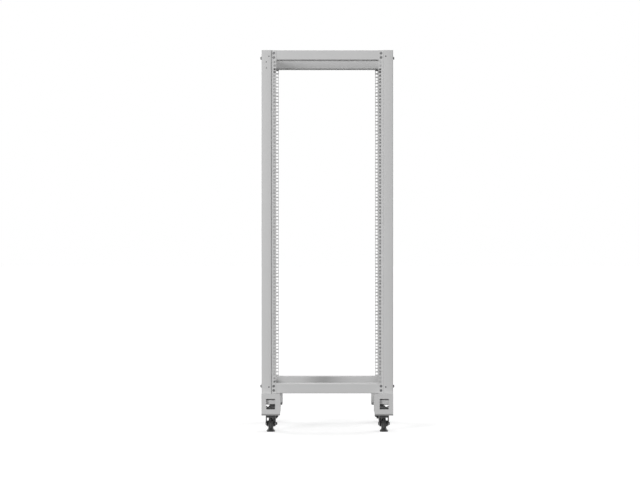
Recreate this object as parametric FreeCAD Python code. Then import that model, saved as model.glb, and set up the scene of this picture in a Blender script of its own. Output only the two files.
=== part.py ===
import FreeCAD, Part
import math
import os

# Four post open frame rack, 32 units high, on levelling casters.
# Millimetres, +Z up, front towards -Y.  The origin is on the floor, midway between the four feet.

# ---- rack standard (EIA-310, 19 inch) ----
RACK_UNIT = 44.45
UNIT_COUNT = 32
HOLE_LEVELS = (6.35, 22.225, 38.1)
HOLE_SIDE = 9.5
HOLE_INSET = 7.05
RACK_OPENING = 451.0

# ---- overall sizes of the frame ----
FRAME_DEPTH = 600.0
FRAME_BOTTOM = 170.0
RAIL_MARGIN = 3.3

# ---- posts: folded sheet ----
POST_SHEET = 2.0
POST_BEND = 3.0
POST_WIDTH = 64.5
POST_DEPTH = 80.0
POST_FACE = 38.0
RAIL_STEP = 8.0
ACCESSORY_HOLE_RADIUS = 2.75
ACCESSORY_HOLE_DROP = 52.0
ACCESSORY_HOLE_PITCH = 26.5
ACCESSORY_HOLE_INSET = 21.1

# ---- beams: rectangular tube ----
BEAM_HEIGHT = 42.5
BEAM_WALL = 2.0
BEAM_CORNER = 3.0
BEAM_END_GAP = 4.5
SIDE_BEAM_GAP = 0.5

# ---- foot brackets: folded sheet box ----
BRACKET_SHEET = 3.0
BRACKET_WIDTH = 83.0
BRACKET_REACH = 20.0
BRACKET_DROP = 96.5
BRACKET_WALL_RISE = 15.5
PANEL_DROP = 46.2
WINDOW_WIDTH = 40.0
WINDOW_HEIGHT = 46.0
WINDOW_SILL = 28.2
WINDOW_CORNER = 3.0
CORNER_CUT_WIDTH = 2.5
CORNER_CUT_HEIGHT = 12.0
LIP_REACH = 6.0
FLANGE_WIDTH = 20.0

# ---- caster: plate and kingpin ----
CASTER_HEIGHT = 107.0
CASTER_INSET = 40.0
PLATE_SIDE = 72.0
PLATE_THICKNESS = 4.0
PLATE_CORNER = 8.0
RACE_RADIUS = 24.0
RACE_HEIGHT = 6.0
RACE_EDGE = 2.0
KINGPIN_RADIUS = 7.0
KINGPIN_LENGTH = 20.0
KINGPIN_FLANGE_RADIUS = 9.5
KINGPIN_FLANGE = 4.0

# ---- caster: wheel and axle ----
WHEEL_RADIUS = 31.5
WHEEL_WIDTH = 20.0
WHEEL_TRAIL = 48.0
TREAD_CROWN = 3.0
RIM_DEPTH = 7.0
RIM_RECESS = 4.0
HUB_RADIUS = 13.0
HUB_TAPER = 1.0
AXLE_RADIUS = 4.0
AXLE_HEAD_RADIUS = 7.0
AXLE_HEAD = 1.5
AXLE_NUT_FLATS = 11.0
AXLE_NUT = 5.0
AXLE_END = 1.0

# ---- caster: fork ----
FORK_WIDTH = 44.0
CHEEK_THICKNESS = 4.0
CROWN_RADIUS = 18.0
BRIDGE_HEIGHT = 11.0
BRIDGE_DROP = 34.0
BRIDGE_FRONT = 17.0
BRIDGE_BACK = 20.0
CHEEK_BOSS_RADIUS = 9.0
CHEEK_FRONT_HEIGHT = 33.0
CHEEK_CORNER = 6.0

# ---- caster: screwed foot ----
PAD_RADIUS = 18.5
PAD_RIM = 6.0
PAD_BEVEL = 2.5
PAD_HEIGHT = 15.0
SLEEVE_RADIUS = 11.0
STEM_RADIUS = 5.0
STEM_GRIP = 4.0
COLLAR_RADIUS = 12.5
COLLAR_HEIGHT = 8.0
COLLAR_GAP = 2.0
COLLAR_NOTCHES = 12
COLLAR_NOTCH_RADIUS = 1.6
FOOT_RISE = 14.0

# ---- clearances ----
SWIVEL_GAP = 0.4
RUNNING_GAP = 0.3

# ---- how far cutting shapes reach past what they cut ----
CUT_MARGIN = 1.0

# ---- places worked out from the sizes above ----
RAIL_BOTTOM = FRAME_BOTTOM + BEAM_HEIGHT + RAIL_MARGIN
RAIL_TOP = RAIL_BOTTOM + UNIT_COUNT * RACK_UNIT
FRAME_TOP = RAIL_TOP + RAIL_MARGIN + BEAM_HEIGHT
HALF_WIDTH = RACK_OPENING / 2.0 + POST_WIDTH
HALF_DEPTH = FRAME_DEPTH / 2.0
RAIL_BACK = HALF_DEPTH - RAIL_STEP - POST_SHEET
BEAM_DEPTH = RAIL_BACK - (HALF_DEPTH - POST_DEPTH)
SIDE_BEAM_WIDTH = POST_FACE - 2.0 * POST_SHEET - SIDE_BEAM_GAP
BRACKET_FRONT = HALF_DEPTH + BRACKET_REACH
BRACKET_BACK = HALF_DEPTH - POST_DEPTH
CASTER_X = HALF_WIDTH - CASTER_INSET
CASTER_Y = (BRACKET_FRONT + BRACKET_BACK) / 2.0
PLATE_UNDERSIDE = CASTER_HEIGHT - PLATE_THICKNESS
RACE_UNDERSIDE = PLATE_UNDERSIDE - RACE_HEIGHT
CROWN_TOP = RACE_UNDERSIDE - SWIVEL_GAP
PIN_END = PLATE_UNDERSIDE - KINGPIN_LENGTH
PIN_HEAD = PIN_END + KINGPIN_FLANGE
BRIDGE_TOP = CASTER_HEIGHT - BRIDGE_DROP
BRIDGE_BOTTOM = BRIDGE_TOP - BRIDGE_HEIGHT
STEM_TOP = BRIDGE_BOTTOM + STEM_GRIP
COLLAR_TOP = BRIDGE_BOTTOM - FOOT_RISE - COLLAR_GAP
COLLAR_LOW = COLLAR_TOP - COLLAR_HEIGHT


def vec(x, y, z=0.0):
    return FreeCAD.Vector(x, y, z)


def box(low, high):
    """Box between two corners given as (x, y, z)."""
    size = [b - a for a, b in zip(low, high)]
    return Part.makeBox(size[0], size[1], size[2], vec(*low))


def rounded_outline(corners, radii):
    """Closed wire in the XY plane through the corners, each rounded by its own radius."""
    count = len(corners)
    edges = []
    starts = []
    ends = []
    middles = []
    for i, corner in enumerate(corners):
        before = (corners[i - 1] - corner).normalize()
        after = (corners[(i + 1) % count] - corner).normalize()
        if radii[i] <= 0.0:
            starts.append(corner)
            ends.append(corner)
            middles.append(None)
            continue
        half_angle = before.getAngle(after) / 2.0
        reach = radii[i] / math.tan(half_angle)
        inward = (before + after).normalize()
        depth = radii[i] / math.sin(half_angle) - radii[i]
        starts.append(corner + before * reach)
        ends.append(corner + after * reach)
        middles.append(corner + inward * depth)
    for i in range(count):
        if middles[i] is not None:
            edges.append(Part.Arc(starts[i], middles[i], ends[i]).toShape())
        following = starts[(i + 1) % count]
        if (following - ends[i]).Length > 1e-6:
            edges.append(Part.makeLine(ends[i], following))
    return Part.Wire(edges)


def rounded_rectangle(width, depth, radius):
    """Rectangle outline centred on the origin with equal corner radii."""
    x = width / 2.0
    y = depth / 2.0
    corners = [vec(-x, -y), vec(x, -y), vec(x, y), vec(-x, y)]
    return rounded_outline(corners, [radius] * 4)


def offset_corner(previous, corner, following, distance):
    """Corner of a path moved sideways to the left by a distance, mitred where the path turns."""
    normals = []
    for start, end in ((previous, corner), (corner, following)):
        if start is None or end is None:
            continue
        along = (end - start).normalize()
        normals.append(vec(-along.y, along.x))
    mean = normals[0] + normals[-1]
    return corner + mean * (2.0 * distance / mean.dot(mean))


def bent_sheet(path, thickness, bend):
    """Face of a folded sheet whose middle line follows the path; bend is the inside radius."""
    padded = [None] + list(path) + [None]
    sides = ([], [])
    radii = ([], [])
    for i, corner in enumerate(path):
        previous = padded[i]
        following = padded[i + 2]
        turn = 0.0
        if previous is not None and following is not None:
            turn = (corner - previous).cross(following - corner).z
        for side, sign in enumerate((1.0, -1.0)):
            sides[side].append(offset_corner(previous, corner, following, sign * thickness / 2.0))
            inner = turn * sign > 0.0
            radius = 0.0 if turn == 0.0 else (bend if inner else bend + thickness)
            radii[side].append(radius)
    corners = sides[0] + sides[1][::-1]
    return Part.Face(rounded_outline(corners, radii[0] + radii[1][::-1]))


def place(solid, sign_x, sign_y):
    """Solid modelled in the rear right quarter, mirrored into the quarter with these signs."""
    if sign_x < 0:
        solid = solid.mirror(vec(0, 0, 0), vec(1, 0, 0))
    if sign_y < 0:
        solid = solid.mirror(vec(0, 0, 0), vec(0, 1, 0))
    return solid


def rail_holes():
    """Square EIA holes of one rail, three to each unit, as cutting boxes."""
    half = HOLE_SIDE / 2.0
    middle = RACK_OPENING / 2.0 + HOLE_INSET
    cutters = []
    for unit in range(UNIT_COUNT):
        for level in HOLE_LEVELS:
            z = RAIL_BOTTOM + unit * RACK_UNIT + level
            low = (middle - half, RAIL_BACK - CUT_MARGIN, z - half)
            high = (middle + half, HALF_DEPTH + CUT_MARGIN, z + half)
            cutters.append(box(low, high))
    return Part.makeCompound(cutters)


def post():
    """Folded post of the rear right corner: side wall, face, step and rail flange with its holes."""
    half_sheet = POST_SHEET / 2.0
    wall_x = HALF_WIDTH - half_sheet
    face_y = HALF_DEPTH - half_sheet
    step_x = HALF_WIDTH - POST_FACE + half_sheet
    rail_y = HALF_DEPTH - RAIL_STEP - half_sheet
    path = [
        vec(wall_x, HALF_DEPTH - POST_DEPTH),
        vec(wall_x, face_y),
        vec(step_x, face_y),
        vec(step_x, rail_y),
        vec(RACK_OPENING / 2.0, rail_y),
    ]
    section = bent_sheet(path, POST_SHEET, POST_BEND)
    section.translate(vec(0, 0, FRAME_BOTTOM))
    solid = section.extrude(vec(0, 0, FRAME_TOP - FRAME_BOTTOM))
    return solid.cut(rail_holes())


def accessory_holes():
    """Two small round holes one above the other in the face of the front left post."""
    cutters = []
    for step in range(2):
        z = FRAME_TOP - ACCESSORY_HOLE_DROP - step * ACCESSORY_HOLE_PITCH
        start = vec(-HALF_WIDTH + ACCESSORY_HOLE_INSET, -HALF_DEPTH - CUT_MARGIN, z)
        length = POST_SHEET + 2.0 * CUT_MARGIN
        cutters.append(Part.makeCylinder(ACCESSORY_HOLE_RADIUS, length, start, vec(0, 1, 0)))
    return Part.makeCompound(cutters)


def tube(width, height, length):
    """Rectangular tube along +X from the origin plane, centred on the X axis."""
    outer = Part.Face(rounded_rectangle(width, height, BEAM_CORNER))
    inner = Part.Face(rounded_rectangle(width - 2.0 * BEAM_WALL, height - 2.0 * BEAM_WALL, 0.0))
    solid = outer.cut(inner).extrude(vec(0, 0, length))
    solid.rotate(vec(0, 0, 0), vec(0, 1, 0), 90)
    return solid


def cross_beam(sign_y, middle_z):
    """Beam across the rack, against the inner faces of the two rail flanges."""
    reach = HALF_WIDTH - POST_SHEET - SIDE_BEAM_WIDTH - BEAM_END_GAP
    solid = tube(BEAM_HEIGHT, BEAM_DEPTH, 2.0 * reach)
    solid.translate(vec(-reach, sign_y * (RAIL_BACK - BEAM_DEPTH / 2.0), middle_z))
    return solid


def side_beam(sign_x, middle_z):
    """Beam from front to rear, against the inner faces of the two posts' side walls."""
    reach = HALF_DEPTH - POST_SHEET - POST_BEND - SIDE_BEAM_GAP
    solid = tube(BEAM_HEIGHT, SIDE_BEAM_WIDTH, 2.0 * reach)
    solid.rotate(vec(0, 0, 0), vec(0, 0, 1), 90)
    middle_x = HALF_WIDTH - POST_SHEET - SIDE_BEAM_WIDTH / 2.0
    solid.translate(vec(sign_x * middle_x, -reach, middle_z))
    return solid


def across(solid):
    """Solid drawn in XY and raised along Z, turned so that XY stands as YZ and its height runs along X."""
    solid.rotate(vec(0, 0, 0), vec(1, 0, 0), 90)
    solid.rotate(vec(0, 0, 0), vec(0, 0, 1), 90)
    return solid


def standing_sheet(corners, y_outer, thickness):
    """Flat sheet standing across Y: corners are (x, z), its outer face is at y_outer."""
    wire = Part.makePolygon([vec(x, y_outer - thickness, z) for x, z in corners + corners[:1]])
    return Part.Face(wire).extrude(vec(0, thickness, 0))


def apron():
    """Outer sheet of a foot bracket, with an inward lip below, a clipped corner and a window."""
    half_sheet = BRACKET_SHEET / 2.0
    bottom = FRAME_BOTTOM - BRACKET_DROP
    path = [
        vec(BRACKET_FRONT - half_sheet, FRAME_BOTTOM),
        vec(BRACKET_FRONT - half_sheet, bottom + LIP_REACH + half_sheet),
        vec(BRACKET_FRONT - half_sheet - LIP_REACH, bottom + half_sheet),
    ]
    sheet = bent_sheet(path, BRACKET_SHEET, BRACKET_SHEET).extrude(vec(0, 0, BRACKET_WIDTH))
    sheet = across(sheet)
    inner_x = HALF_WIDTH - BRACKET_WIDTH
    sheet.translate(vec(inner_x, 0, 0))
    depth = LIP_REACH + BRACKET_SHEET + 2.0 * CUT_MARGIN
    clipped = [
        (inner_x, bottom - CUT_MARGIN),
        (inner_x + CORNER_CUT_WIDTH, bottom - CUT_MARGIN),
        (inner_x + CORNER_CUT_WIDTH, bottom),
        (inner_x, bottom + CORNER_CUT_HEIGHT),
    ]
    sheet = sheet.cut(standing_sheet(clipped, BRACKET_FRONT + CUT_MARGIN, depth))
    window = Part.Face(rounded_rectangle(WINDOW_WIDTH, WINDOW_HEIGHT, WINDOW_CORNER))
    window = window.extrude(vec(0, 0, BRACKET_SHEET + 2.0 * CUT_MARGIN))
    window.rotate(vec(0, 0, 0), vec(1, 0, 0), 90)
    middle_z = bottom + WINDOW_SILL + WINDOW_HEIGHT / 2.0
    window.translate(vec(CASTER_X, BRACKET_FRONT + CUT_MARGIN, middle_z))
    return sheet.cut(window)


def bracket():
    """Foot bracket of the rear right corner: apron, walls, roof, stiffening panel and flanges."""
    sheet = BRACKET_SHEET
    outer_x = HALF_WIDTH
    inner_x = HALF_WIDTH - BRACKET_WIDTH
    wall_bottom = FRAME_BOTTOM - BRACKET_DROP + BRACKET_WALL_RISE
    top = FRAME_BOTTOM
    front = BRACKET_FRONT - sheet
    walls = []
    for x_low in (inner_x, outer_x - sheet):
        walls.append(box((x_low, BRACKET_BACK, wall_bottom), (x_low + sheet, front, top)))
    roof = box((inner_x + sheet, BRACKET_BACK, top - sheet), (outer_x - sheet, front, top))
    panel = box((inner_x + sheet, HALF_DEPTH - sheet, top - PANEL_DROP),
                (outer_x - sheet, HALF_DEPTH, top - sheet))
    flanges = []
    for x_low in (inner_x + sheet, outer_x - sheet - FLANGE_WIDTH):
        flanges.append(box((x_low, BRACKET_BACK, CASTER_HEIGHT),
                           (x_low + FLANGE_WIDTH, front, CASTER_HEIGHT + sheet)))
    return apron().multiFuse(walls + [roof, panel] + flanges).removeSplitter()


def revolved(profile):
    """Solid of revolution about Z from a closed profile of (radius, z) corners."""
    wire = Part.makePolygon([vec(r, 0, z) for r, z in profile + profile[:1]])
    return Part.Face(wire).revolve(vec(0, 0, 0), vec(0, 0, 1), 360)


def caster_plate():
    """Square plate with the fixed race and the headed kingpin below it."""
    plate = Part.Face(rounded_rectangle(PLATE_SIDE, PLATE_SIDE, PLATE_CORNER))
    plate = plate.extrude(vec(0, 0, PLATE_THICKNESS))
    plate.translate(vec(0, 0, PLATE_UNDERSIDE))
    spindle = revolved([
        (0.0, PIN_END),
        (KINGPIN_FLANGE_RADIUS, PIN_END),
        (KINGPIN_FLANGE_RADIUS, PIN_HEAD),
        (KINGPIN_RADIUS, PIN_HEAD),
        (KINGPIN_RADIUS, RACE_UNDERSIDE),
        (RACE_RADIUS - RACE_EDGE, RACE_UNDERSIDE),
        (RACE_RADIUS, RACE_UNDERSIDE + RACE_EDGE),
        (RACE_RADIUS, PLATE_UNDERSIDE),
        (0.0, PLATE_UNDERSIDE),
    ])
    return plate.fuse(spindle).removeSplitter()


def cheek_outline():
    """Side view of a fork cheek in (trail, height): crown end, rounded corners and axle boss."""
    boss = CHEEK_BOSS_RADIUS
    corners = [
        vec(-BRIDGE_FRONT, BRIDGE_TOP),
        vec(-BRIDGE_FRONT, BRIDGE_TOP - CHEEK_FRONT_HEIGHT),
        vec(WHEEL_TRAIL - boss, WHEEL_RADIUS - boss),
        vec(WHEEL_TRAIL + boss, WHEEL_RADIUS - boss),
        vec(WHEEL_TRAIL + boss, WHEEL_RADIUS + boss),
        vec(BRIDGE_BACK + CHEEK_CORNER, BRIDGE_BOTTOM),
        vec(BRIDGE_BACK, BRIDGE_TOP),
    ]
    round_end = boss - RUNNING_GAP
    radii = [0.0, CHEEK_CORNER, CHEEK_CORNER, round_end, round_end, CHEEK_CORNER, 0.0]
    return rounded_outline(corners, radii)


def caster_fork():
    """Swivel fork: round crown over the kingpin, bridge, and two cheeks that carry the axle."""
    half_width = FORK_WIDTH / 2.0
    crown = Part.makeCylinder(CROWN_RADIUS, CROWN_TOP - BRIDGE_TOP, vec(0, 0, BRIDGE_TOP))
    race_low = vec(0, 0, CROWN_TOP - RACE_HEIGHT)
    race = Part.makeCylinder(RACE_RADIUS - RACE_EDGE, RACE_HEIGHT, race_low)
    bridge = box((-half_width, -BRIDGE_FRONT, BRIDGE_BOTTOM), (half_width, BRIDGE_BACK, BRIDGE_TOP))
    cheek = across(Part.Face(cheek_outline()).extrude(vec(0, 0, CHEEK_THICKNESS)))
    left = cheek.copy()
    left.translate(vec(-half_width, 0, 0))
    right = cheek.copy()
    right.translate(vec(half_width - CHEEK_THICKNESS, 0, 0))
    bore = STEM_RADIUS + RUNNING_GAP
    neck = KINGPIN_RADIUS + RUNNING_GAP
    pocket = KINGPIN_FLANGE_RADIUS + RUNNING_GAP
    pocket_low = STEM_TOP + FOOT_RISE + SWIVEL_GAP
    pocket_high = PIN_HEAD + SWIVEL_GAP
    hollow = revolved([
        (0.0, BRIDGE_BOTTOM - CUT_MARGIN),
        (bore, BRIDGE_BOTTOM - CUT_MARGIN),
        (bore, pocket_low),
        (pocket, pocket_low),
        (pocket, pocket_high),
        (neck, pocket_high),
        (neck, CROWN_TOP + CUT_MARGIN),
        (0.0, CROWN_TOP + CUT_MARGIN),
    ])
    axle_start = vec(-half_width, WHEEL_TRAIL, WHEEL_RADIUS)
    axle_bore = Part.makeCylinder(AXLE_RADIUS, FORK_WIDTH, axle_start, vec(1, 0, 0))
    solid = crown.multiFuse([race, bridge, left, right]).removeSplitter()
    return solid.cut(hollow).cut(axle_bore)


def caster_axle():
    """Axle pin with a low round head on one cheek and a hexagon nut on the other."""
    half_width = FORK_WIDTH / 2.0
    pin = Part.makeCylinder(AXLE_RADIUS, FORK_WIDTH + AXLE_NUT + AXLE_END, vec(0, 0, -half_width))
    head = Part.makeCylinder(AXLE_HEAD_RADIUS, AXLE_HEAD, vec(0, 0, -half_width - AXLE_HEAD))
    corner_radius = AXLE_NUT_FLATS / math.sqrt(3.0)
    corners = [vec(corner_radius * math.cos(math.radians(60 * i)),
                   corner_radius * math.sin(math.radians(60 * i)), half_width) for i in range(7)]
    nut = Part.Face(Part.makePolygon(corners)).extrude(vec(0, 0, AXLE_NUT))
    solid = pin.multiFuse([head, nut]).removeSplitter()
    solid.rotate(vec(0, 0, 0), vec(0, 1, 0), 90)
    solid.translate(vec(0, WHEEL_TRAIL, WHEEL_RADIUS))
    return solid


def caster_wheel():
    """Wheel with a crowned tread, recessed side webs and a hub that runs on the axle."""
    half = WHEEL_WIDTH / 2.0
    web = half - RIM_RECESS
    rim = WHEEL_RADIUS - RIM_DEPTH
    bore = AXLE_RADIUS + RUNNING_GAP
    edge = WHEEL_RADIUS - TREAD_CROWN
    hub_end = FORK_WIDTH / 2.0 - CHEEK_THICKNESS - RUNNING_GAP
    half_profile = [(bore, hub_end), (HUB_RADIUS, hub_end), (HUB_RADIUS + HUB_TAPER, web),
                    (rim - HUB_TAPER, web), (rim, half), (edge, half),
                    (WHEEL_RADIUS, half - TREAD_CROWN)]
    profile = half_profile + [(r, -z) for r, z in reversed(half_profile)]
    solid = revolved(profile)
    solid.rotate(vec(0, 0, 0), vec(0, 1, 0), 90)
    solid.translate(vec(0, WHEEL_TRAIL, WHEEL_RADIUS))
    return solid


def caster_foot():
    """Screwed foot: bell-shaped pad, notched adjusting collar and stem."""
    solid = revolved([
        (0.0, 0.0),
        (PAD_RADIUS, 0.0),
        (PAD_RADIUS, PAD_RIM),
        (PAD_RADIUS - PAD_BEVEL, PAD_RIM + PAD_BEVEL),
        (SLEEVE_RADIUS + PAD_BEVEL, PAD_HEIGHT - PAD_BEVEL),
        (SLEEVE_RADIUS, PAD_HEIGHT),
        (SLEEVE_RADIUS, COLLAR_LOW),
        (COLLAR_RADIUS, COLLAR_LOW),
        (COLLAR_RADIUS, COLLAR_TOP),
        (STEM_RADIUS, COLLAR_TOP),
        (STEM_RADIUS, STEM_TOP),
        (0.0, STEM_TOP),
    ])
    notches = []
    for i in range(COLLAR_NOTCHES):
        angle = 2.0 * math.pi * i / COLLAR_NOTCHES
        centre = vec(COLLAR_RADIUS * math.cos(angle), COLLAR_RADIUS * math.sin(angle), COLLAR_LOW)
        corner = COLLAR_NOTCH_RADIUS
        notch = box((-corner, -corner, -CUT_MARGIN), (corner, corner, COLLAR_HEIGHT + CUT_MARGIN))
        notch.rotate(vec(0, 0, 0), vec(0, 0, 1), 45.0 + math.degrees(angle))
        notch.translate(centre)
        notches.append(notch)
    return solid.cut(Part.makeCompound(notches))


def caster_set():
    """The five pieces of one caster about its swivel axis, wheel trailing towards +Y, foot down."""
    return {
        "caster_plate": caster_plate(),
        "caster_fork": caster_fork(),
        "caster_axle": caster_axle(),
        "caster_wheel": caster_wheel(),
        "caster_foot": caster_foot(),
    }


def build():
    """All pieces by node name."""
    pieces = {}
    corner_post = post()
    corner_bracket = bracket()
    caster = caster_set()
    for side, sign_x in (("left", -1), ("right", 1)):
        for end, sign_y in (("front", -1), ("rear", 1)):
            where = end + "_" + side
            pieces[where + "_post"] = place(corner_post, sign_x, sign_y)
            pieces[where + "_foot_bracket"] = place(corner_bracket, sign_x, sign_y)
            for name, solid in caster.items():
                piece = solid.copy()
                if sign_y > 0:
                    piece.rotate(vec(0, 0, 0), vec(0, 0, 1), 180)
                if sign_y > 0 and name == "caster_foot":
                    piece.translate(vec(0, 0, FOOT_RISE))
                piece.translate(vec(sign_x * CASTER_X, sign_y * CASTER_Y, 0))
                pieces[where + "_" + name] = piece
    pieces["front_left_post"] = pieces["front_left_post"].cut(accessory_holes())
    levels = {"top": FRAME_TOP - BEAM_HEIGHT / 2.0, "bottom": FRAME_BOTTOM + BEAM_HEIGHT / 2.0}
    for level, middle_z in levels.items():
        for end, sign_y in (("front", -1), ("rear", 1)):
            pieces[end + "_" + level + "_beam"] = cross_beam(sign_y, middle_z)
        for side, sign_x in (("left", -1), ("right", 1)):
            pieces[side + "_" + level + "_side_beam"] = side_beam(sign_x, middle_z)
    return pieces


os.makedirs("parts", exist_ok=True)
for node, shape in build().items():
    shape.exportStep("parts/" + node + ".step")
    print(node, len(shape.Solids), round(shape.Volume / 1000.0, 1), shape.isValid(), shape.BoundBox)
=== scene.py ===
"""Dresses the four post open frame rack: coats, folded posts, fasteners, casters and studio."""
import logging
import math
from dataclasses import dataclass, field
from enum import Enum

import bmesh
import bpy
from mathutils import Matrix, Vector


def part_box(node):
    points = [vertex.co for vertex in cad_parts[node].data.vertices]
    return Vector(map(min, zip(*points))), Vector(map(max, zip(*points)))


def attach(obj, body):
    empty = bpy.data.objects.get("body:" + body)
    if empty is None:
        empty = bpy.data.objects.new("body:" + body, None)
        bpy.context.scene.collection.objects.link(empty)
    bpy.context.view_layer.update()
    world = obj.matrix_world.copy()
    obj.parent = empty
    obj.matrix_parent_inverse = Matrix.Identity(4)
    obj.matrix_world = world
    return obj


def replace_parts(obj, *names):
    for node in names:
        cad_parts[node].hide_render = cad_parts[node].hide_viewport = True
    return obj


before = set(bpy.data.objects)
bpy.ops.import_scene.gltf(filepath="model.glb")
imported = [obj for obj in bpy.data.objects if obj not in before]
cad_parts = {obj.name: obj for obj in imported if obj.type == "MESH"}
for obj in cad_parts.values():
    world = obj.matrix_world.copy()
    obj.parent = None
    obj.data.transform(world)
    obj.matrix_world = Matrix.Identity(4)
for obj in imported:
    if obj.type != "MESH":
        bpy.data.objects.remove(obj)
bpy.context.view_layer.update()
LOG = logging.getLogger("rack")

SIDES = {"left": -1.0, "right": 1.0}
ENDS = {"front": -1.0, "rear": 1.0}
CORNERS = [(end, side) for side in SIDES for end in ENDS]

Colour = tuple[float, float, float]
Spot = tuple[Vector, Vector]
Socket = bpy.types.NodeSocket
Tree = bpy.types.NodeTree
Material = bpy.types.Material
Piece = bpy.types.Object

# The blending node repeats its socket names for each kind of data; these are its colour sockets.
MIX_FACTOR, MIX_FIRST, MIX_SECOND, MIX_RESULT = 0, 6, 7, 2
HEX_SIDES = 6


class Slot(Enum):
    """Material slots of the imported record."""

    FRAME = "frame_paint"
    CASTER = "caster_black"
    STEEL = "caster_steel"
    WHEEL = "wheel_nylon"
    FOOT = "foot_black"


class Pattern(Enum):
    """Shapes that geometry nodes make."""

    BOLTS = "bolt_heads"
    THREAD = "thread_ridge"
    RIBS = "wheel_ribs"
    HOLES = "perforation"


def stand(name: str, data: bpy.types.ID) -> Piece:
    """Put a mesh, lamp or camera into the scene as an object at the origin.

    Args:
        name: Name of the object.
        data: The mesh, lamp or camera.

    Returns:
        The object.
    """
    made = bpy.data.objects.new(name, data)
    bpy.context.scene.collection.objects.link(made)
    return made


def stand_shape(name: str, shape: bmesh.types.BMesh) -> Piece:
    """Put an edited mesh into the scene and free it.

    Args:
        name: Name of the piece.
        shape: The edited mesh.

    Returns:
        The piece.
    """
    mesh = bpy.data.meshes.new(name)
    shape.to_mesh(mesh)
    shape.free()
    return stand(name, mesh)


# ---------------------------------------------------------------- finishes


def grey(level: float) -> tuple[float, float, float, float]:
    """A neutral colour."""
    return (level, level, level, 1.0)


class NodeSheet:
    """A material's node tree with short calls for adding and joining nodes."""

    def __init__(self, name: str) -> None:
        """Start an empty surface material.

        Args:
            name: Name of the material.
        """
        self.material = bpy.data.materials.new(name)
        self.material.use_nodes = True
        self.tree = self.material.node_tree
        self.tree.nodes.clear()
        self.output = self.add("ShaderNodeOutputMaterial")

    def add(self, kind: str, **values: object) -> bpy.types.Node:
        """Add a node and set the inputs named by keyword, underscores standing for spaces.

        Args:
            kind: Type name of the node.
            **values: Input values, or node properties where no input has that name.

        Returns:
            The new node.
        """
        node = self.tree.nodes.new(kind)
        for key, value in values.items():
            label = key.replace("_", " ")
            if label in node.inputs:
                node.inputs[label].default_value = value
            else:
                setattr(node, key, value)
        return node

    def join(self, source: Socket, target: Socket) -> None:
        """Link an output socket to an input socket."""
        self.tree.links.new(source, target)

    def object_coordinates(self, scale: float,
                           stretch: tuple[float, float, float] = (1, 1, 1)) -> Socket:
        """Object coordinates times a scale.

        Args:
            scale: Pattern repeats to the metre.
            stretch: Relative scale along each axis.

        Returns:
            The vector socket of the scaled coordinates.
        """
        place = self.add("ShaderNodeTexCoord")
        mapping = self.add("ShaderNodeMapping")
        mapping.inputs["Scale"].default_value = [scale * s for s in stretch]
        self.join(place.outputs["Object"], mapping.inputs["Vector"])
        return mapping.outputs["Vector"]

    def noise(self, vector: Socket, detail: float) -> Socket:
        """Fractal noise value.

        Args:
            vector: Coordinates of the pattern.
            detail: Octaves of the noise.

        Returns:
            The factor socket.
        """
        node = self.add("ShaderNodeTexNoise", Scale=1.0, Detail=detail)
        self.join(vector, node.inputs["Vector"])
        return node.outputs["Fac"]

    def spread(self, value: Socket, low: float, high: float) -> Socket:
        """Map a 0 to 1 value between two numbers.

        Args:
            value: Socket with the value.
            low: Result at 0.
            high: Result at 1.

        Returns:
            The mapped socket.
        """
        node = self.add("ShaderNodeMapRange")
        node.inputs["To Min"].default_value = low
        node.inputs["To Max"].default_value = high
        self.join(value, node.inputs["Value"])
        return node.outputs["Result"]

    def tint(self, value: Socket, dark: Colour, light: Colour) -> Socket:
        """Blend two colours by a 0 to 1 value.

        Args:
            value: Socket with the value.
            dark: Colour at 0.
            light: Colour at 1.

        Returns:
            The colour socket.
        """
        node = self.add("ShaderNodeMix", data_type="RGBA")
        node.inputs[MIX_FIRST].default_value = (*dark, 1.0)
        node.inputs[MIX_SECOND].default_value = (*light, 1.0)
        self.join(value, node.inputs[MIX_FACTOR])
        return node.outputs[MIX_RESULT]

    def relief(self, height: Socket, strength: float, depth: float) -> Socket:
        """Bump from a height.

        Args:
            height: Socket with the height.
            strength: Share of the bump used.
            depth: Height of the relief in metres.

        Returns:
            The normal socket.
        """
        node = self.add("ShaderNodeBump", Strength=strength, Distance=depth)
        self.join(height, node.inputs["Height"])
        return node.outputs["Normal"]


@dataclass(frozen=True)
class Finish:
    """A coated, moulded or bare surface with grain, a cloudy tone and fine relief."""

    name: str
    dark: Colour
    light: Colour
    roughness: tuple[float, float]
    metallic: float = 0.0
    specular: float = 0.5
    cloud_scale: float = 9.0
    cloud_detail: float = 4.0
    grain_scale: float = 900.0
    grain_detail: float = 3.0
    grain_depth: float = 0.00012
    grain_strength: float = 0.35
    stretch: tuple[float, float, float] = (1.0, 1.0, 1.0)

    def build(self) -> Material:
        """Make the material.

        Returns:
            The finished material.
        """
        sheet = NodeSheet(self.name)
        shader = sheet.add("ShaderNodeBsdfPrincipled", Metallic=self.metallic,
                           Specular_IOR_Level=self.specular)
        cloud = sheet.noise(sheet.object_coordinates(self.cloud_scale), self.cloud_detail)
        grain_place = sheet.object_coordinates(self.grain_scale, self.stretch)
        grain = sheet.noise(grain_place, self.grain_detail)
        sheet.join(sheet.tint(cloud, self.dark, self.light), shader.inputs["Base Color"])
        sheet.join(sheet.spread(grain, *self.roughness), shader.inputs["Roughness"])
        normal = sheet.relief(grain, self.grain_strength, self.grain_depth)
        sheet.join(normal, shader.inputs["Normal"])
        sheet.join(shader.outputs["BSDF"], sheet.output.inputs["Surface"])
        return sheet.material


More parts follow.
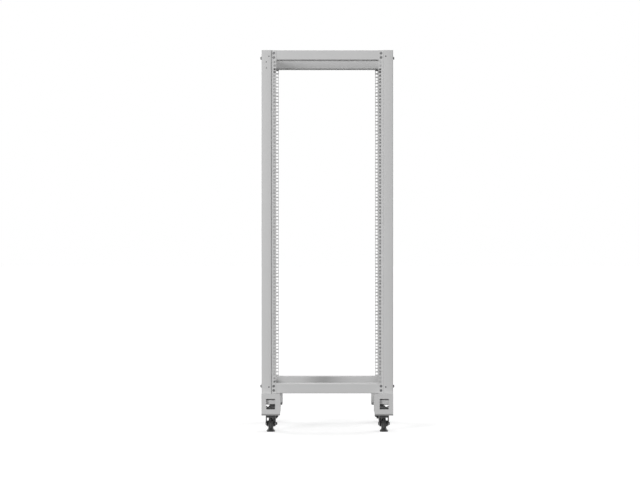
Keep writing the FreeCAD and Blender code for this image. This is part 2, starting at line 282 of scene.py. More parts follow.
FINISHES = {
    Slot.FRAME: Finish("light_grey_powder_coat", (0.508, 0.508, 0.508), (0.532, 0.532, 0.532),
                       (0.42, 0.60), specular=0.35),
    Slot.CASTER: Finish("black_cast_coat", (0.005, 0.005, 0.0055), (0.010, 0.010, 0.0105),
                        (0.26, 0.42), specular=0.50, grain_scale=500.0, grain_depth=0.0002),
    Slot.STEEL: Finish("blackened_steel", (0.040, 0.040, 0.042), (0.070, 0.070, 0.073),
                       (0.28, 0.45), metallic=0.6, stretch=(1.0, 1.0, 0.1)),
    Slot.WHEEL: Finish("black_nylon", (0.008, 0.008, 0.0085), (0.015, 0.015, 0.0155),
                       (0.40, 0.60), specular=0.30, grain_scale=700.0),
    Slot.FOOT: Finish("black_foot_moulding", (0.007, 0.007, 0.007), (0.013, 0.013, 0.013),
                      (0.28, 0.45), specular=0.50, grain_scale=600.0),
}
BOLT_FINISH = Finish("dull_zinc_bolt", (0.085, 0.085, 0.087), (0.14, 0.14, 0.143), (0.32, 0.50),
                     metallic=0.5, specular=0.4, grain_depth=0.00005)


# ---------------------------------------------------------------- fasteners


class NodeMaker:
    """Builds a geometry node tree with named inputs."""

    def __init__(self, pattern: Pattern) -> None:
        """Start a tree that takes and gives a mesh.

        Args:
            pattern: What the tree makes.
        """
        self.tree = bpy.data.node_groups.new(pattern.value, "GeometryNodeTree")
        face = self.tree.interface
        face.new_socket("Geometry", in_out="INPUT", socket_type="NodeSocketGeometry")
        face.new_socket("Geometry", in_out="OUTPUT", socket_type="NodeSocketGeometry")
        self.start = self.tree.nodes.new("NodeGroupInput")
        self.end = self.tree.nodes.new("NodeGroupOutput")

    def take(self, *names: str, kind: str = "NodeSocketFloat") -> None:
        """Add named inputs of one kind to the tree."""
        for name in names:
            self.tree.interface.new_socket(name, in_out="INPUT", socket_type=kind)

    def node(self, kind: str, links: dict[str, Socket] | None = None,
             values: dict[str, object] | None = None, **props: object) -> bpy.types.Node:
        """Add a node, set its properties and inputs, and link its inputs.

        Args:
            kind: Type name of the node.
            links: Sockets to link, by input name.
            values: Input values, by input name.
            **props: Properties of the node.

        Returns:
            The new node.
        """
        made = self.tree.nodes.new(kind)
        for key, value in props.items():
            setattr(made, key, value)
        for key, value in (values or {}).items():
            made.inputs[key].default_value = value
        for key, socket in (links or {}).items():
            self.tree.links.new(socket, made.inputs[key])
        return made

    def given(self, name: str) -> Socket:
        """The socket of a named input inside the tree."""
        return self.start.outputs[name]

    def times(self, value: Socket, factor: float) -> Socket:
        """A value times a fixed factor."""
        product = self.node("ShaderNodeMath", {0: value}, {1: factor}, operation="MULTIPLY")
        return product.outputs[0]

    def lifted(self, shape: Socket, height: Socket) -> Socket:
        """A shape moved up along Z.

        Args:
            shape: The shape.
            height: How far it moves.

        Returns:
            The moved shape.
        """
        way = self.node("ShaderNodeCombineXYZ", {"Z": height})
        moved = self.node("GeometryNodeTransform",
                          {"Geometry": shape, "Translation": way.outputs[0]})
        return moved.outputs["Geometry"]

    def marked(self, name: str, kind: str) -> Socket:
        """Values of a named attribute of the incoming mesh."""
        found = self.node("GeometryNodeInputNamedAttribute", values={"Name": name}, data_type=kind)
        return found.outputs[0]

    def turned(self, way: Socket, axis: str) -> Socket:
        """Rotation that points an axis along a direction."""
        turn = self.node("FunctionNodeAlignRotationToVector", {"Vector": way}, axis=axis)
        return turn.outputs["Rotation"]

    def copies(self, points: Socket, shape: Socket, turn: Socket | None = None) -> Socket:
        """Copies of a shape on points.

        Args:
            points: Geometry with the points.
            shape: What is copied.
            turn: Rotation of each copy, or nothing for none.

        Returns:
            The copies.
        """
        links = {"Points": points, "Instance": shape}
        if turn is not None:
            links["Rotation"] = turn
        return self.node("GeometryNodeInstanceOnPoints", links).outputs["Instances"]

    def close(self, shape: Socket) -> Tree:
        """Make copies real, give them the coat and end the tree.

        Args:
            shape: What the tree made.

        Returns:
            The finished tree.
        """
        real = self.node("GeometryNodeRealizeInstances", {"Geometry": shape})
        coated = self.node("GeometryNodeSetMaterial", {
            "Geometry": real.outputs["Geometry"], "Material": self.given("Coat")})
        self.tree.links.new(coated.outputs["Geometry"], self.end.inputs["Geometry"])
        return self.tree


@dataclass(frozen=True)
class BoltHead:
    """Sizes in metres of a washer, a domed head and its hexagon socket."""

    washer_radius: float
    washer_height: float
    head_radius: float
    head_height: float
    socket_radius: float

    def inputs(self) -> dict[str, float]:
        """The sizes by the names of the tree's inputs.

        Returns:
            Size by input name.
        """
        return {
            "Washer Radius": self.washer_radius,
            "Washer Height": self.washer_height,
            "Head Radius": self.head_radius,
            "Head Height": self.head_height,
            "Socket Radius": self.socket_radius,
        }


def bolt_tree(sides: int = 28, shoulder: float = 0.82, depth: float = 0.45) -> Tree:
    """Geometry nodes that stand a bolt head on each point, along its facing attribute.

    Args:
        sides: Sides of the washer and the head.
        shoulder: Radius of the head's top as a share of its radius.
        depth: Depth of the hexagon socket as a share of the head's height.

    Returns:
        The node tree.
    """
    maker = NodeMaker(Pattern.BOLTS)
    maker.take("Washer Radius", "Washer Height", "Head Radius", "Head Height", "Socket Radius")
    maker.take("Coat", kind="NodeSocketMaterial")
    washer_height, head_height = maker.given("Washer Height"), maker.given("Head Height")
    head_radius = maker.given("Head Radius")
    washer = maker.node("GeometryNodeMeshCylinder", {
        "Radius": maker.given("Washer Radius"), "Depth": washer_height}, {"Vertices": sides})
    washer_up = maker.lifted(washer.outputs["Mesh"], maker.times(washer_height, 0.5))
    dome = maker.node("GeometryNodeMeshCone", {
        "Radius Top": maker.times(head_radius, shoulder), "Radius Bottom": head_radius,
        "Depth": head_height}, {"Vertices": sides})
    key = maker.node("GeometryNodeMeshCylinder", {
        "Radius": maker.given("Socket Radius"), "Depth": head_height}, {"Vertices": HEX_SIDES})
    # The head stands on its base and the key is centred on its middle, hence half a height more.
    key_up = maker.lifted(key.outputs["Mesh"], maker.times(head_height, 1.5 - depth))
    head = maker.node("GeometryNodeMeshBoolean", {
        "Mesh 1": dome.outputs["Mesh"], "Mesh 2": key_up}, operation="DIFFERENCE")
    head_up = maker.lifted(head.outputs["Mesh"], washer_height)
    whole = maker.node("GeometryNodeJoinGeometry")
    for part in (washer_up, head_up):
        maker.tree.links.new(part, whole.inputs[0])
    turn = maker.turned(maker.marked("facing", "FLOAT_VECTOR"), "Z")
    return maker.close(maker.copies(maker.given("Geometry"), whole.outputs["Geometry"], turn))


def set_input(modifier: bpy.types.Modifier, tree: Tree, name: str, value: object) -> None:
    """Set one named input of a geometry nodes modifier.

    Args:
        modifier: The modifier.
        tree: Its node tree.
        name: Name of the input.
        value: Value that it gets.
    """
    for item in tree.interface.items_tree:
        if item.in_out == "INPUT" and item.name == name:
            modifier[item.identifier] = value


def bake(piece: Piece) -> None:
    """Turn a piece's modifiers into its plain mesh.

    Args:
        piece: The piece.
    """
    graph = bpy.context.evaluated_depsgraph_get()
    graph.update()
    result = bpy.data.meshes.new_from_object(piece.evaluated_get(graph))
    piece.modifiers.clear()
    piece.data = result


def grow(name: str, spots: list[Spot], tree: Tree, inputs: dict[str, object]) -> Piece:
    """Run a node tree over points and keep its result as a plain mesh object.

    Args:
        name: Name of the piece.
        spots: Place of each copy, in metres, and the direction that it faces.
        tree: The geometry node tree.
        inputs: Input values by name.

    Returns:
        The piece, linked to the scene.
    """
    seed = bpy.data.meshes.new(name + "_points")
    seed.from_pydata([tuple(place) for place, _ in spots], [], [])
    facing = seed.attributes.new("facing", "FLOAT_VECTOR", "POINT")
    facing.data.foreach_set("vector", [part for _, way in spots for part in way])
    piece = stand(name, seed)
    modifier = piece.modifiers.new("grow", "NODES")
    modifier.node_group = tree
    for key, value in inputs.items():
        set_input(modifier, tree, key, value)
    bake(piece)
    piece.data.materials.clear()
    piece.data.materials.append(inputs["Coat"])
    return piece


def thread_tree(steps: int = 24, sides: int = 4) -> Tree:
    """Geometry nodes that wind a thread ridge upwards from each point.

    Args:
        steps: Steps to a turn of the thread.
        sides: Sides of the ridge's section.

    Returns:
        The node tree.
    """
    maker = NodeMaker(Pattern.THREAD)
    maker.take("Radius", "Height", "Turns", "Ridge")
    maker.take("Coat", kind="NodeSocketMaterial")
    spiral = maker.node("GeometryNodeCurveSpiral", {
        "Rotations": maker.given("Turns"), "Start Radius": maker.given("Radius"),
        "End Radius": maker.given("Radius"), "Height": maker.given("Height")},
        {"Resolution": steps})
    profile = maker.node("GeometryNodeCurvePrimitiveCircle", {"Radius": maker.given("Ridge")},
                         {"Resolution": sides})
    ridge = maker.node("GeometryNodeCurveToMesh", {
        "Curve": spiral.outputs["Curve"], "Profile Curve": profile.outputs["Curve"]},
        {"Fill Caps": True})
    return maker.close(maker.copies(maker.given("Geometry"), ridge.outputs["Mesh"]))


def rib_tree() -> Tree:
    """Geometry nodes that set a ring of radial ribs on each point, square to its facing attribute.

    Returns:
        The node tree.
    """
    maker = NodeMaker(Pattern.RIBS)
    maker.take("Ribs", kind="NodeSocketInt")
    maker.take("Middle", "Length", "Width", "Height")
    maker.take("Coat", kind="NodeSocketMaterial")
    ring = maker.node("GeometryNodeMeshCircle", {
        "Vertices": maker.given("Ribs"), "Radius": maker.given("Middle")})
    size = maker.node("ShaderNodeCombineXYZ", {
        "X": maker.given("Length"), "Y": maker.given("Width"), "Z": maker.given("Height")})
    rib = maker.node("GeometryNodeMeshCube", {"Size": size.outputs[0]})
    raised = maker.lifted(rib.outputs["Mesh"], maker.times(maker.given("Height"), 0.5))
    spot = maker.node("GeometryNodeInputPosition")
    spokes = maker.copies(ring.outputs["Mesh"], raised, maker.turned(spot.outputs[0], "X"))
    turn = maker.turned(maker.marked("facing", "FLOAT_VECTOR"), "Z")
    return maker.close(maker.copies(maker.given("Geometry"), spokes, turn))


def perforation_tree() -> Tree:
    """Geometry nodes that punch out the faces marked as holes.

    Returns:
        The node tree.
    """
    maker = NodeMaker(Pattern.HOLES)
    maker.take("Coat", kind="NodeSocketMaterial")
    punched = maker.node("GeometryNodeDeleteGeometry", {
        "Geometry": maker.given("Geometry"), "Selection": maker.marked("hole", "BOOLEAN")},
        domain="FACE")
    return maker.close(punched.outputs["Geometry"])


def settle(piece: Piece, body: str) -> Piece:
    """Let a piece ride on a body.

    Args:
        piece: The piece.
        body: Body it moves with.

    Returns:
        The same piece.
    """
    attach(piece, body)
    return piece


# ---------------------------------------------------------------- sub-assemblies


NODE_SLOTS = {
    "_caster_plate": Slot.CASTER,
    "_caster_fork": Slot.CASTER,
    "_caster_axle": Slot.STEEL,
    "_caster_wheel": Slot.WHEEL,
    "_caster_foot": Slot.FOOT,
}


@dataclass
class FrameCoat:
    """Finishes of the CAD nodes, set slot by slot."""

    materials: dict[Slot, Material] = field(default_factory=dict)

    def build(self) -> None:
        """Make one material for each slot of the record."""
        self.materials = {slot: finish.build() for slot, finish in FINISHES.items()}

    def slot_of(self, node: str) -> Slot:
        """Slot of a CAD node, from the end of its name."""
        kinds = [slot for ending, slot in NODE_SLOTS.items() if node.endswith(ending)]
        return kinds[0] if kinds else Slot.FRAME

    def dress(self) -> int:
        """Give each CAD node the finish of its slot.

        Returns:
            Number of nodes dressed.
        """
        for name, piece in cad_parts.items():
            if not piece.material_slots:
                piece.data.materials.append(None)
            for surface in piece.material_slots:
                surface.material = self.materials[self.slot_of(name)]
        return len(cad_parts)


@dataclass
class FoldedPosts:
    """Posts of folded sheet: side wall, plain face, step and rail flange with square holes."""

    sheet: float = 0.002
    bend: float = 0.003
    bend_steps: int = 5
    face: float = 0.0435
    step: float = 0.008
    unit: float = 0.04445
    units: int = 32
    rail_start: float = 0.0458
    levels: tuple[float, float, float] = (0.00635, 0.022225, 0.0381)
    hole_side: float = 0.0095
    hole_inset: float = 0.00705
    small_hole_radius: float = 0.00275
    small_hole_sides: int = 20
    small_hole_inset: float = 0.0211
    small_hole_drops: tuple[float, float] = (0.052, 0.0785)
    small_hole_corner: str = "front_left"
    drill_length: float = 0.008
    smooth_angle: float = 30.0

    def folds(self, low: Vector, high: Vector) -> list[Vector]:
        """Corners of the middle of the sheet from above, in the quarter where both are positive.

        Args:
            low: Lowest corner of the front left post.
            high: Highest corner of the front left post.

        Returns:
            The corners from the side wall's free edge to the rail flange's.
        """
        half = self.sheet / 2
        side, front = -low.x - half, -low.y - half
        step = -low.x - self.face + half
        rail = -low.y - self.step - half
        return [Vector((side, -high.y)), Vector((side, front)), Vector((step, front)),
                Vector((step, rail)), Vector((-high.x, rail))]

    def columns(self, low: Vector, high: Vector) -> tuple[list[Vector], int]:
        """Points along the sheet with its rounded bends, and which strip the holes are in.

        Args:
            low: Lowest corner of the front left post.
            high: Highest corner of the front left post.

        Returns:
            The points, and the number of the strip with the holes.
        """
        folds = self.folds(low, high)
        points = [folds[0]]
        for before, corner, after in zip(folds, folds[1:], folds[2:]):
            back = (before - corner).normalized()
            on = (after - corner).normalized()
            centre = corner + (back + on) * self.bend
            for count in range(self.bend_steps + 1):
                turn = math.radians(90 * count / self.bend_steps)
                points.append(centre - (on * math.cos(turn) + back * math.sin(turn)) * self.bend)
        middle = folds[-1].x + self.hole_inset
        strip = len(points)
        for x in (middle + self.hole_side / 2, middle - self.hole_side / 2):
            points.append(Vector((x, folds[-1].y)))
        points.append(folds[-1])
        return points, strip

    def rows(self, bottom: float, top: float) -> tuple[list[float], set[int]]:
        """Heights of the sheet's edges and of all hole edges, and which rows hold holes.

        Args:
            bottom: Height of the post's lower end.
            top: Height of the post's upper end.

        Returns:
            The heights, and the numbers of the rows with a hole.
        """
        heights, holes = [bottom], set()
        for count in range(self.units):
            for level in self.levels:
                middle = bottom + self.rail_start + count * self.unit + level
                holes.add(len(heights))
                heights += [middle - self.hole_side / 2, middle + self.hole_side / 2]
        heights.append(top)
        return heights, holes

    def blank(self, name: str, end: str, side: str) -> Piece:
        """The bent sheet of one post without its thickness, its hole faces marked.

        Args:
            name: Name of the piece.
            end: Front or rear.
            side: Left or right.

        Returns:
            The piece.
        """
        low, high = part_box("front_left_post")
        points, strip = self.columns(low, high)
        heights, holes = self.rows(low.z, high.z)
        wide = len(points)
        corners = [(SIDES[side] * p.x, ENDS[end] * p.y, z) for z in heights for p in points]
        faces, marks = [], []
        for row in range(len(heights) - 1):
            for column in range(wide - 1):
                start = row * wide + column
                faces.append((start, start + 1, start + wide + 1, start + wide))
                marks.append(row in holes and column == strip)
        mesh = bpy.data.meshes.new(name)
        mesh.from_pydata(corners, [], faces)
        mesh.attributes.new("hole", "BOOLEAN", "FACE").data.foreach_set("value", marks)
        return stand(name, mesh)

    def drill(self) -> Piece:
        """Round cutters for the two small holes in the face.

        Returns:
            The cutters, as one object.
        """
        low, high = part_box("front_left_post")
        shape = bmesh.new()
        for drop in self.small_hole_drops:
            place = Vector((low.x + self.small_hole_inset, low.y, high.z - drop))
            bmesh.ops.create_cone(
                shape, cap_ends=True, segments=self.small_hole_sides,
                radius1=self.small_hole_radius, radius2=self.small_hole_radius,
                depth=self.drill_length,
                matrix=Matrix.Translation(place) @ Matrix.Rotation(math.radians(90), 4, "X"))
        return stand_shape("drill", shape)

    def post(self, end: str, side: str, coat: Material, tree: Tree) -> Piece:
        """One post: the sheet punched, thickened and drilled where it has the small holes.

        Args:
            end: Front or rear.
            side: Left or right.
            coat: Finish of the post.
            tree: Perforation node tree.

        Returns:
            The piece.
        """
        piece = self.blank(f"{end}_{side}_folded_post", end, side)
        punch = piece.modifiers.new("punch", "NODES")
        punch.node_group = tree
        set_input(punch, tree, "Coat", coat)
        thick = piece.modifiers.new("thickness", "SOLIDIFY")
        thick.thickness = self.sheet
        thick.offset = 0.0
        thick.use_even_offset = True
        if f"{end}_{side}" == self.small_hole_corner:
            drill = self.drill()
            piece.modifiers.new("drill", "BOOLEAN").object = drill
            bake(piece)
            bpy.data.objects.remove(drill)
        else:
            bake(piece)
        piece.data.shade_smooth()
        piece.data.set_sharp_from_angle(angle=math.radians(self.smooth_angle))
        return piece

    def build(self, coat: Material, tree: Tree) -> list[Piece]:
        """Make the four posts in place of the solid ones.

        Args:
            coat: Finish of the posts.
            tree: Perforation node tree.

        Returns:
            The pieces.
        """
        pieces = []
        for end, side in CORNERS:
            piece = settle(self.post(end, side, coat, tree), "frame")
            pieces.append(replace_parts(piece, f"{end}_{side}_post"))
        return pieces


@dataclass
class BracketReturns:
    """Return flanges at the open backs of the foot brackets, on their inner walls."""

    thickness: float = 0.003
    width: float = 0.0205
    rise: float = 0.0155
    clip: tuple[float, float] = (0.008, 0.006)
    edge: float = 0.0005
    edge_steps: int = 2

    def outline(self, low: Vector, high: Vector) -> list[tuple[float, float]]:
        """Outline of one flange, as distance from the middle of the rack and height.

        Args:
            low: Lowest corner of the bracket.
            high: Highest corner of the bracket.

        Returns:
            The corners in order.
        """
        inner = min(abs(low.x), abs(high.x))
        outer = inner + self.width
        bottom = low.z + self.rise
        return [(inner, high.z), (inner, bottom + self.clip[1]), (inner + self.clip[0], bottom),
                (outer, bottom), (outer, high.z)]

    def build(self, coat: Material) -> list[Piece]:
        """Make the four flanges as one piece.

        Args:
            coat: Finish of the flanges.

        Returns:
            The piece, in a list.
        """
        shape = bmesh.new()
        for end, side in CORNERS:
            low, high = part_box(f"{end}_{side}_foot_bracket")
            back = min(abs(low.y), abs(high.y))
            outline = self.outline(low, high)
            rings = [[shape.verts.new((SIDES[side] * x, ENDS[end] * y, z)) for x, z in outline]
                     for y in (back, back - self.thickness)]
            for ring in rings:
                shape.faces.new(ring)
            for at in range(len(outline)):
                on = (at + 1) % len(outline)
                shape.faces.new((rings[0][at], rings[0][on], rings[1][on], rings[1][at]))
        bmesh.ops.recalc_face_normals(shape, faces=shape.faces)
        piece = stand_shape("bracket_returns", shape)
        piece.data.materials.append(coat)
        round_off = piece.modifiers.new("edges", "BEVEL")
        round_off.width = self.edge
        round_off.segments = self.edge_steps
        bake(piece)
        return [settle(piece, "frame")]


@dataclass
class FrameBolts:
    """Bolts that hold the rails, the side beams and the top corners together."""

    rail_head: BoltHead = BoltHead(0.0058, 0.0006, 0.0049, 0.0026, 0.0025)
    side_head: BoltHead = BoltHead(0.0078, 0.0014, 0.0066, 0.0048, 0.0034)
    top_head: BoltHead = BoltHead(0.0076, 0.0008, 0.0062, 0.0020, 0.0032)
    dot_head: BoltHead = BoltHead(0.0034, 0.0003, 0.0029, 0.0010, 0.0011)
    rail_reach: float = 0.2366
    rail_face: float = 0.292
    rail_insets: tuple[float, float] = (0.013, 0.032)
    side_insets: tuple[float, float] = (0.033, 0.030)
    side_depth: float = 0.262
    top_reach: float = 0.272
    top_depth: float = 0.238
    dot_reach: float = 0.2575
    dot_insets: tuple[float, float] = (0.027, 0.0286)

    def build(self, tree: Tree, coat: Material) -> list[Piece]:
        """Stand the bolt heads on the frame.

        Args:
            tree: Bolt head node tree.
            coat: Finish of the bolts.

        Returns:
            The pieces, one for each kind of bolt.
        """
        low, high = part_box("front_left_post")
        kinds = {
            "rail_bolts": (self.rail_head, self.rail_places(low.z, high.z)),
            "side_bolts": (self.side_head, self.side_places(low, high)),
            "top_bolts": (self.top_head, self.top_places(high.z)),
            "post_rivets": (self.dot_head, self.dot_places(low, high)),
        }
        pieces = []
        for name, (head, spots) in kinds.items():
            piece = grow(name, spots, tree, {**head.inputs(), "Coat": coat})
            pieces.append(settle(piece, "frame"))
        return pieces

    def rail_places(self, bottom: float, top: float) -> list[Spot]:
        """Places on the rail flanges near both ends of the posts.

        Args:
            bottom: Height of the posts' lower ends.
            top: Height of the posts' upper ends.

        Returns:
            Place and facing of each bolt.
        """
        heights = [bottom + inset for inset in self.rail_insets]
        heights += [top - inset for inset in self.rail_insets]
        return [
            (Vector((SIDES[side] * self.rail_reach, ENDS[end] * self.rail_face, z)),
             Vector((0, ENDS[end], 0)))
            for end, side in CORNERS for z in heights
        ]

    def side_places(self, low: Vector, high: Vector) -> list[Spot]:
        """Places on the outer sides of the posts, where the side beams are held.

        Args:
            low: Lowest corner of the front left post.
            high: Highest corner of the front left post.

        Returns:
            Place and facing of each bolt.
        """
        heights = (high.z - self.side_insets[0], low.z + self.side_insets[1])
        return [
            (Vector((SIDES[side] * abs(low.x), ENDS[end] * self.side_depth, z)),
             Vector((SIDES[side], 0, 0)))
            for end, side in CORNERS for z in heights
        ]

    def top_places(self, top: float) -> list[Spot]:
        """Places on the tops of the side beams, close to the posts.

        Args:
            top: Height of the frame's top.

        Returns:
            Place and facing of each bolt.
        """
        return [
            (Vector((SIDES[side] * self.top_reach, ENDS[end] * self.top_depth, top)),
             Vector((0, 0, 1)))
            for end, side in CORNERS
        ]

    def dot_places(self, low: Vector, high: Vector) -> list[Spot]:
        """Places on the front and rear faces of the posts.

        Args:
            low: Lowest corner of the front left post.
            high: Highest corner of the front left post.

        Returns:
            Place and facing of each rivet.
        """
        heights = (high.z - self.dot_insets[0], low.z + self.dot_insets[1])
        return [
            (Vector((SIDES[side] * self.dot_reach, ENDS[end] * abs(low.y), z)),
             Vector((0, ENDS[end], 0)))
            for end, side in CORNERS for z in heights
        ]


@dataclass
class CasterFittings:
    """Plate bolts, axle cap, wheel ribs and foot thread of one caster."""

    where: str
    plate_head: BoltHead = BoltHead(0.0068, 0.0010, 0.0058, 0.0042, 0.0026)
    cap_head: BoltHead = BoltHead(0.0066, 0.0002, 0.0060, 0.0008, 0.0030)
    plate_inset: float = 0.0105
    plate_thickness: float = 0.004
    web_half: float = 0.006
    rib_count: int = 9
    rib_middle: float = 0.0187
    rib_length: float = 0.0094
    rib_width: float = 0.0020
    rib_height: float = 0.0030
    thread_radius: float = 0.0050
    thread_ridge: float = 0.00025
    thread_pitch: float = 0.00125
    thread_span: tuple[float, float] = (0.0465, 0.0655)

    def middle(self, part: str) -> Vector:
        """Middle of one of this caster's CAD nodes.

        Args:
            part: The node's name after the corner's name.

        Returns:
            Middle of its box.
        """
        low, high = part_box(f"{self.where}_{part}")
        return (low + high) / 2

    def plate_bolts(self, tree: Tree, steel: Material) -> Piece:
        """Bolts under the four corners of the top plate.

        Args:
            tree: Bolt head node tree.
            steel: Finish of the bolts.

        Returns:
            The piece.
        """
        low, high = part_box(f"{self.where}_caster_plate")
        middle = (low + high) / 2
        half = (high.x - low.x) / 2 - self.plate_inset
        under = high.z - self.plate_thickness
        spots = [(Vector((middle.x + across * half, middle.y + along * half, under)),
                  Vector((0, 0, -1))) for across in (-1, 1) for along in (-1, 1)]
        values = {**self.plate_head.inputs(), "Coat": steel}
        bolts = grow(f"{self.where}_plate_bolts", spots, tree, values)
        return settle(bolts, "frame")

    def axle_cap(self, tree: Tree, steel: Material) -> Piece:
        """Domed cap with a hexagon socket over the axle's round head.

        Args:
            tree: Bolt head node tree.
            steel: Finish of the cap.

        Returns:
            The piece.
        """
        low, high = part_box(f"{self.where}_caster_axle")
        wheel = self.middle("caster_wheel")
        head_is_left = wheel.x - low.x < high.x - wheel.x
        end = Vector((low.x if head_is_left else high.x, wheel.y, wheel.z))
        facing = Vector((-1 if head_is_left else 1, 0, 0))
        values = {**self.cap_head.inputs(), "Coat": steel}
        cap = grow(f"{self.where}_axle_cap", [(end, facing)], tree, values)
        return settle(cap, f"{self.where}_fork")

    def wheel_ribs(self, tree: Tree, nylon: Material) -> Piece:
        """Radial ribs in the recesses on both sides of the wheel.

        Args:
            tree: Rib node tree.
            nylon: Finish of the ribs.

        Returns:
            The piece.
        """
        wheel = self.middle("caster_wheel")
        spots = [(wheel + Vector((side * self.web_half, 0, 0)), Vector((side, 0, 0)))
                 for side in (-1, 1)]
        values = {"Ribs": self.rib_count, "Middle": self.rib_middle, "Length": self.rib_length,
                  "Width": self.rib_width, "Height": self.rib_height, "Coat": nylon}
        ribs = grow(f"{self.where}_wheel_ribs", spots, tree, values)
        return settle(ribs, f"{self.where}_wheel")

    def foot_thread(self, tree: Tree, steel: Material) -> Piece:
        """Thread on the foot's stem.

        Args:
            tree: Thread node tree.
            steel: Finish of the thread.

        Returns:
            The piece.
        """
        low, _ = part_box(f"{self.where}_caster_foot")
        middle = self.middle("caster_foot")
        start, end = self.thread_span
        values = {"Radius": self.thread_radius, "Height": end - start, "Ridge": self.thread_ridge,
                  "Turns": (end - start) / self.thread_pitch, "Coat": steel}
        place = Vector((middle.x, middle.y, low.z + start))
        thread = grow(f"{self.where}_foot_thread", [(place, Vector((0, 0, 1)))], tree, values)
        return settle(thread, f"{self.where}_foot")

    def build(self, trees: dict[Pattern, Tree], coats: dict[Slot, Material]) -> list[Piece]:
        """Make the caster's small parts.

        Args:
            trees: Node trees by what they make.
            coats: Materials by slot.

        Returns:
            The pieces.
        """
        steel = coats[Slot.STEEL]
        return [
            self.plate_bolts(trees[Pattern.BOLTS], steel),
            self.axle_cap(trees[Pattern.BOLTS], steel),
            self.wheel_ribs(trees[Pattern.RIBS], coats[Slot.WHEEL]),
            self.foot_thread(trees[Pattern.THREAD], steel),
        ]


# ---------------------------------------------------------------- light, floor and camera


@dataclass(frozen=True)
class Lamp:
    """A soft distant lamp: its strength, its softness and how it is turned, in degrees."""

    name: str
    strength: float
    softness: float
    turn: tuple[float, float, float]

    def hang(self) -> None:
        """Add the lamp to the scene."""
        lamp = bpy.data.lights.new(self.name, "SUN")
        lamp.energy = self.strength
        lamp.angle = math.radians(self.softness)
        stand(self.name, lamp).rotation_euler = [math.radians(turn) for turn in self.turn]


@dataclass(frozen=True)
class SoftBox:
    """A square soft lamp near the rack: its power, side, place and aim."""

    name: str
    power: float
    side: float
    place: tuple[float, float, float]
    aim: tuple[float, float, float]

    def hang(self) -> None:
        """Add the lamp to the scene, turned to its aim."""
        lamp = bpy.data.lights.new(self.name, "AREA")
        lamp.energy = self.power
        lamp.size = self.side
        holder = stand(self.name, lamp)
        holder.location = self.place
        way = Vector(self.aim) - Vector(self.place)
        holder.rotation_euler = way.to_track_quat("-Z", "Y").to_euler()


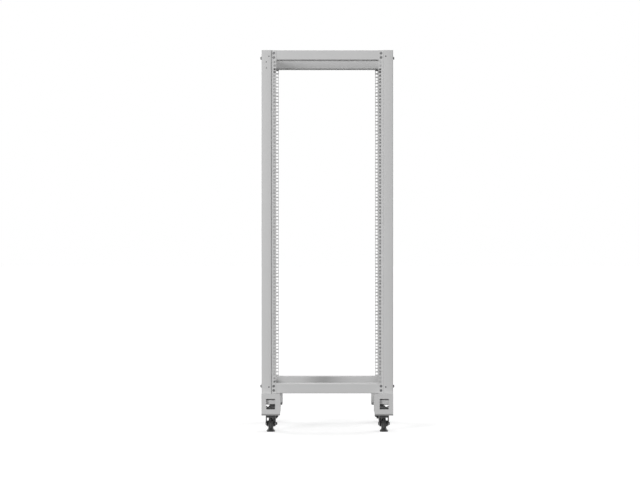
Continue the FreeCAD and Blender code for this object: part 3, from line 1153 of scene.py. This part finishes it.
@dataclass
class Studio:
    """White floor and surround, soft lamps and the camera."""

    camera_place: tuple[float, float, float] = (-0.0324, -9.872, 0.8467)
    lens: float = 122.15
    sensor: float = 36.0
    floor_reach: float = 60.0
    floor_white: float = 0.55
    floor_glow: float = 0.56
    floor_bounce: float = 0.0
    sky: float = 0.42
    lamps: tuple[Lamp | SoftBox, ...] = (
        SoftBox("key", 235.0, 1.4, (-3.4, -6.3, 2.2), (0.0, 0.0, 0.8)),
        Lamp("front_fill", 0.9, 8.0, (74.0, 0.0, 0.0)),
        Lamp("rear_right_fill", 1.6, 50.0, (-65.0, 0.0, -50.0)),
        Lamp("rear_left_fill", 1.2, 50.0, (-65.0, 0.0, 50.0)),
    )

    def build(self) -> None:
        """Make the world, the floor, the lamps and the camera."""
        self.surround()
        self.floor()
        for lamp in self.lamps:
            lamp.hang()
        self.camera()

    def seen_share(self, tree: Tree) -> Socket:
        """One for rays that see the studio, nought for rays that carry its light.

        Args:
            tree: Node tree that gets the nodes.

        Returns:
            Socket with the factor.
        """
        path = tree.nodes.new("ShaderNodeLightPath")
        share = path.outputs["Is Camera Ray"]
        for kind in ("Is Glossy Ray", "Is Transmission Ray"):
            either = tree.nodes.new("ShaderNodeMath")
            either.operation = "MAXIMUM"
            tree.links.new(share, either.inputs[0])
            tree.links.new(path.outputs[kind], either.inputs[1])
            share = either.outputs[0]
        return share

    def surround(self) -> None:
        """Light the scene evenly and show white behind it."""
        world = bpy.data.worlds.new("studio")
        bpy.context.scene.world = world
        world.use_nodes = True
        tree = world.node_tree
        tree.nodes.clear()
        mix = tree.nodes.new("ShaderNodeMixShader")
        tree.links.new(self.seen_share(tree), mix.inputs["Fac"])
        for slot, strength in ((1, self.sky), (2, 1.0)):
            light = tree.nodes.new("ShaderNodeBackground")
            light.inputs["Color"].default_value = grey(1.0)
            light.inputs["Strength"].default_value = strength
            tree.links.new(light.outputs[0], mix.inputs[slot])
        out = tree.nodes.new("ShaderNodeOutputWorld")
        tree.links.new(mix.outputs[0], out.inputs["Surface"])

    def floor(self) -> None:
        """Lay a pale floor that keeps the object's shadow."""
        reach = self.floor_reach
        mesh = bpy.data.meshes.new("floor")
        mesh.from_pydata([(-reach, -reach, 0), (reach, -reach, 0), (reach, reach, 0),
                          (-reach, reach, 0)], [], [(0, 1, 2, 3)])
        floor = stand("floor", mesh)
        sheet = NodeSheet("pale_floor")
        shade = sheet.add("ShaderNodeBsdfDiffuse", Color=grey(self.floor_white))
        glow = sheet.add("ShaderNodeEmission", Strength=self.floor_glow)
        seen = sheet.add("ShaderNodeAddShader")
        bounce = sheet.add("ShaderNodeBsdfDiffuse", Color=grey(self.floor_bounce))
        mix = sheet.add("ShaderNodeMixShader")
        sheet.join(self.seen_share(sheet.tree), mix.inputs["Fac"])
        sheet.join(shade.outputs[0], seen.inputs[0])
        sheet.join(glow.outputs[0], seen.inputs[1])
        sheet.join(bounce.outputs[0], mix.inputs[1])
        sheet.join(seen.outputs[0], mix.inputs[2])
        sheet.join(mix.outputs[0], sheet.output.inputs["Surface"])
        mesh.materials.append(sheet.material)

    def camera(self) -> None:
        """Set the camera level in front of the rack."""
        lens = bpy.data.cameras.new("camera")
        lens.lens = self.lens
        lens.sensor_width = self.sensor
        holder = stand("camera", lens)
        holder.location = self.camera_place
        holder.rotation_euler = (math.radians(90), 0.0, 0.0)
        bpy.context.scene.camera = holder


def main() -> None:
    """Build each sub-assembly in order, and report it."""
    logging.basicConfig(level=logging.INFO, format="%(message)s")
    bpy.context.scene.view_settings.view_transform = "Standard"
    coat = FrameCoat()
    coat.build()
    LOG.info("coated %d nodes", coat.dress())
    trees = {Pattern.BOLTS: bolt_tree(), Pattern.THREAD: thread_tree(), Pattern.RIBS: rib_tree()}
    pieces = FoldedPosts().build(coat.materials[Slot.FRAME], perforation_tree())
    pieces += BracketReturns().build(coat.materials[Slot.FRAME])
    pieces += FrameBolts().build(trees[Pattern.BOLTS], BOLT_FINISH.build())
    for end, side in CORNERS:
        pieces += CasterFittings(f"{end}_{side}").build(trees, coat.materials)
    for piece in pieces:
        LOG.info("%s: %d faces", piece.name, len(piece.data.polygons))
    Studio().build()


if __name__ == "__main__":
    main()
